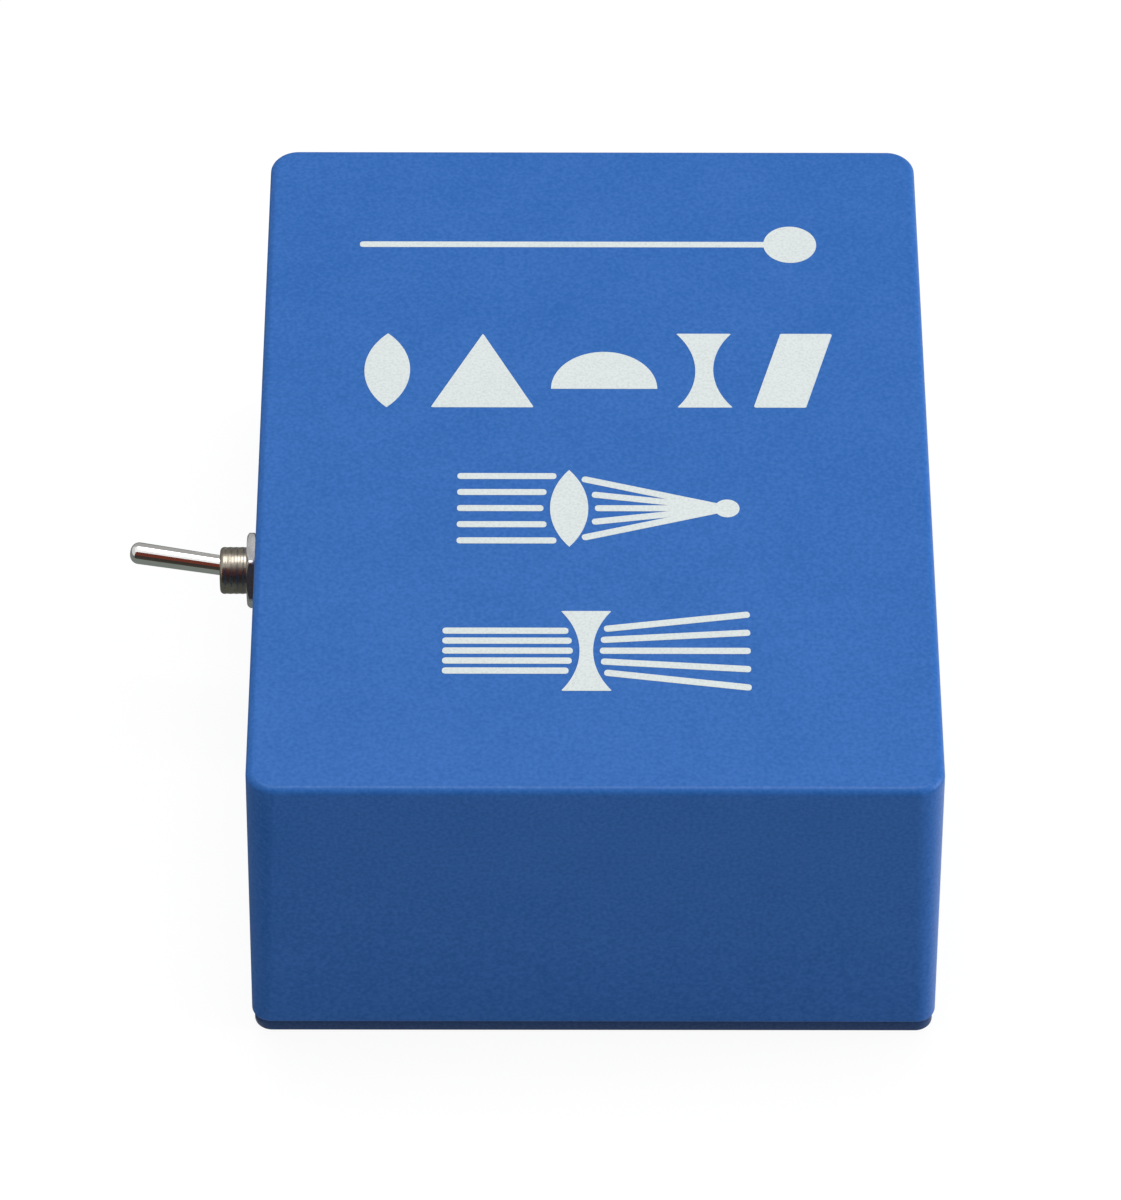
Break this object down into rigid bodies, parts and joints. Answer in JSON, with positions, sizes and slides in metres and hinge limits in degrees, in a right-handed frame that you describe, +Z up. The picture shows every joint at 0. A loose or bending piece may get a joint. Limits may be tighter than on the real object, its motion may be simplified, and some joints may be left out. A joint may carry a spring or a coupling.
{
  "type": "optics ray box",
  "caption": "Flat rectangular light box with a row of small beam apertures in one wall and a lever switch in the opposite wall.",
  "frame": {"origin": "middle of the base cover's underside", "axes": "+Z up; +X out of the beam wall, opposite the switch; +Y along the length of the case, away from the viewer of the picture"},
  "size_m": [0.0982, 0.111, 0.0425],
  "materials": {
    "case_plastic": "moulded ABS, fine satin texture, blue",
    "black_aluminium": "black anodised",
    "brass": "turned brass",
    "zinc_steel": "zinc-plated steel",
    "chrome": "polished chrome plate",
    "nickel": "nickel plate",
    "magnet": "nickel-plated neodymium magnet",
    "glass": "clear optical glass",
    "gold_metal": "gold-plated can",
    "board": "glass-epoxy board, green solder mask",
    "black_plastic": "black moulded plastic",
    "red_plastic": "red switch body",
    "capacitor_sleeve": "dark sleeve",
    "spring_steel": "nickel-plated spring steel",
    "cell_jacket": "plain dry-cell jacket",
    "red_insulation": "red lead insulation",
    "black_insulation": "black lead insulation"
  },
  "bodies": {
    "case": {"barrel_set_screws": "zinc_steel", "base_cover": "case_plastic", "battery_1": "cell_jacket", "battery_2": "cell_jacket", "battery_black_lead": "black_insulation", "battery_contact_plates": "spring_steel", "battery_holder": "black_plastic", "battery_holder_screws": "zinc_steel", "battery_red_lead": "red_insulation", "battery_springs": "spring_steel", "board_magnets": "magnet", "board_screws": "zinc_steel", "board_spacers": "brass", "collimator_lens_1": "glass", "collimator_lens_2": "glass", "collimator_lens_3": "glass", "collimator_lens_4": "glass", "collimator_lens_5": "glass", "cover_screws": "zinc_steel", "current_regulators": "black_plastic", "driver_board": "board", "emitter_block": "black_aluminium", "emitter_block_screws": "zinc_steel", "housing": "case_plastic", "laser_barrel_1": "brass", "laser_barrel_2": "brass", "laser_barrel_3": "brass", "laser_barrel_4": "brass", "laser_barrel_5": "brass", "laser_diode_1": "gold_metal", "laser_diode_2": "gold_metal", "laser_diode_3": "gold_metal", "laser_diode_4": "gold_metal", "laser_diode_5": "gold_metal", "lead_header": "black_plastic", "lens_retaining_rings": "brass", "lever_pin": "zinc_steel", "line_lens_1": "glass", "line_lens_2": "glass", "line_lens_3": "glass", "line_lens_4": "glass", "line_lens_5": "glass", "locating_washer": "nickel", "lock_washer": "nickel", "set_resistors": "black_plastic", "supply_capacitor": "capacitor_sleeve", "switch_bush": "nickel", "switch_case": "red_plastic", "switch_frame": "zinc_steel", "switch_nut": "nickel", "switch_red_lead": "red_insulation", "switch_terminals": "brass"},
    "lever": {"toggle_lever": "chrome", "plunger_spring": "spring_steel"},
    "plunger": {"toggle_plunger": "black_plastic"},
    "rocker": {"contact_rocker": "brass"}
  },
  "joints": [
    {"name": "toggle", "type": "hinge", "parent": "case", "child": "lever", "pos_m": [-0.04152, 0, 0.02255], "axis": [0, 0, 1], "range_deg": [0, 23]},
    {"name": "rocker_tilt", "type": "hinge", "parent": "case", "child": "rocker", "pos_m": [-0.03284, 0, 0.02255], "axis": [0, 0, 1], "range_deg": [-14, 0]},
    {"name": "plunger_slide", "type": "slide", "parent": "lever", "child": "plunger", "axis": [-0.9799, 0.1994, 0], "range_m": [0, 0.0004], "stiffness_N_per_m": 400, "springref_m": -0.0005, "deforming": ["plunger_spring"]}
  ],
  "couplings": [
    {"joint": "rocker_tilt", "follows": "toggle", "ratio": -0.6087}
  ]
}
